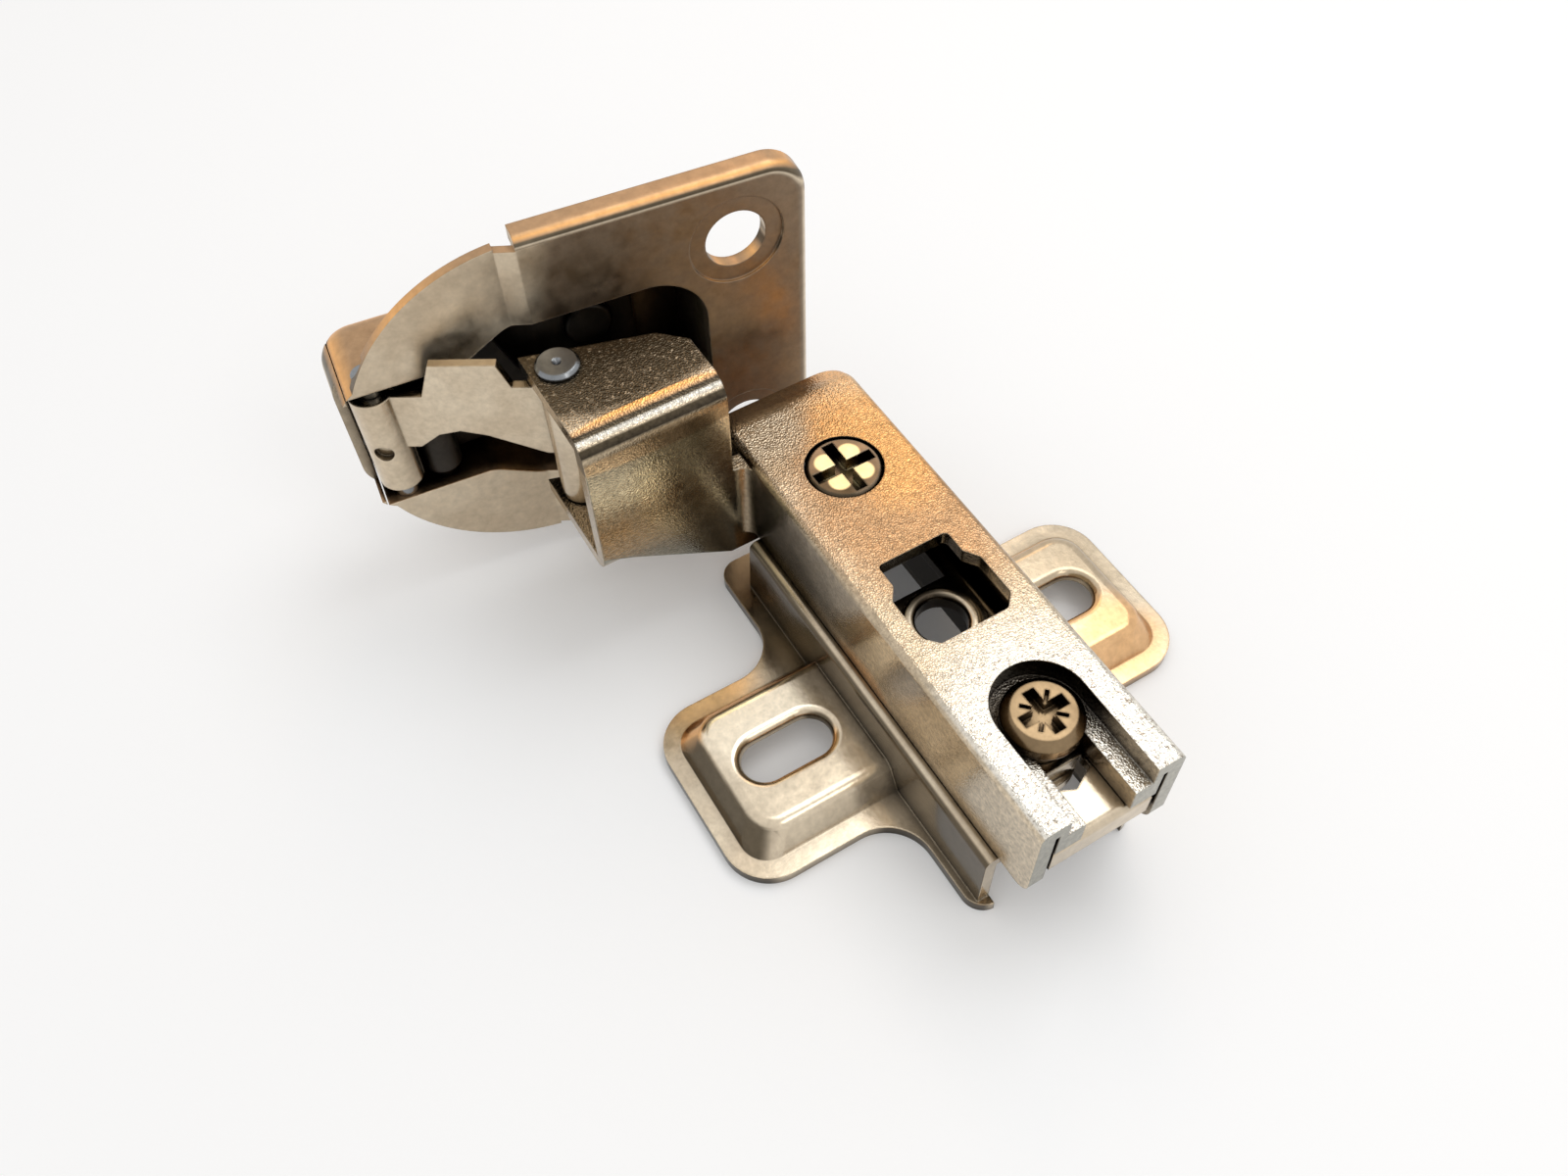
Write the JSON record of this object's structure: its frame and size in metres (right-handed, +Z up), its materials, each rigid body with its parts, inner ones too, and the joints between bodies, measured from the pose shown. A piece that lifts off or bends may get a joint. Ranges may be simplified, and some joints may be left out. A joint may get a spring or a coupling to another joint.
{
  "type": "concealed hinge",
  "caption": "Concealed cabinet hinge: drawn cup with a screw flange, folded links, and a channel arm clamped to a cross shaped mounting plate with slotted wings.",
  "frame": {"origin": "middle of the pattern of the two slots, in the plane of the mounting plate's underside", "axes": "+Z up from the mounting plate, +X along the arm to its rear end, away from the cup, +Y to the right of it"},
  "size_m": [0.0749, 0.0656, 0.0419],
  "materials": {
    "plate_nickel": "nickel plated, satin",
    "arm_nickel": "nickel plated, tumbled grain on top",
    "cup_nickel": "nickel plated, smooth",
    "link_nickel": "nickel plated, smooth",
    "screw_steel": "nickel plated, bright",
    "pin_steel": "bright steel",
    "spring_steel": "blued spring steel"
  },
  "bodies": {
    "plate": {"mounting_plate": "plate_nickel"},
    "arm": {"hinge_arm": "arm_nickel", "outer_arm_pin": "pin_steel"},
    "fixing": {"fixing_screw": "screw_steel"},
    "adjuster": {"adjusting_screw": "screw_steel"},
    "outer": {"outer_link": "link_nickel"},
    "cup": {"hinge_cup": "cup_nickel", "outer_cup_pin": "pin_steel", "inner_cup_pin": "pin_steel", "closing_spring": "spring_steel", "spring_rivet": "pin_steel"},
    "inner": {"inner_link": "link_nickel", "inner_arm_pin": "pin_steel"}
  },
  "joints": [
    {"name": "arm_depth", "type": "slide", "parent": "plate", "child": "arm", "axis": [1, 0, 0], "range_m": [-0.0015, 0.001]},
    {"name": "fixing_turn", "type": "hinge", "parent": "plate", "child": "fixing", "pos_m": [0.016, 0, 0.0179], "axis": [0, 0, 1], "continuous": true},
    {"name": "adjuster_turn", "type": "hinge", "parent": "arm", "child": "adjuster", "pos_m": [-0.0154, 0, 0.02], "axis": [0, 0, 1], "continuous": true},
    {"name": "link_swing", "type": "hinge", "parent": "arm", "child": "outer", "pos_m": [-0.0313, -0.0209, 0.02192], "axis": [0, 0, -1], "range_deg": [0, 42]},
    {"name": "door_swing", "type": "hinge", "parent": "outer", "child": "cup", "pos_m": [-0.04057, -0.03627, 0.02192], "axis": [0, 0, 1], "range_deg": [0, 139.05]},
    {"name": "inner_swing", "type": "hinge", "parent": "cup", "child": "inner", "pos_m": [-0.04085, -0.03191, 0.02192], "axis": [0, 0, -1], "range_deg": [0, 131.25]}
  ],
  "couplings": [
    {"joint": "door_swing", "follows": "link_swing", "ratio": 3.3095},
    {"joint": "inner_swing", "follows": "link_swing", "ratio": 3.1238}
  ]
}
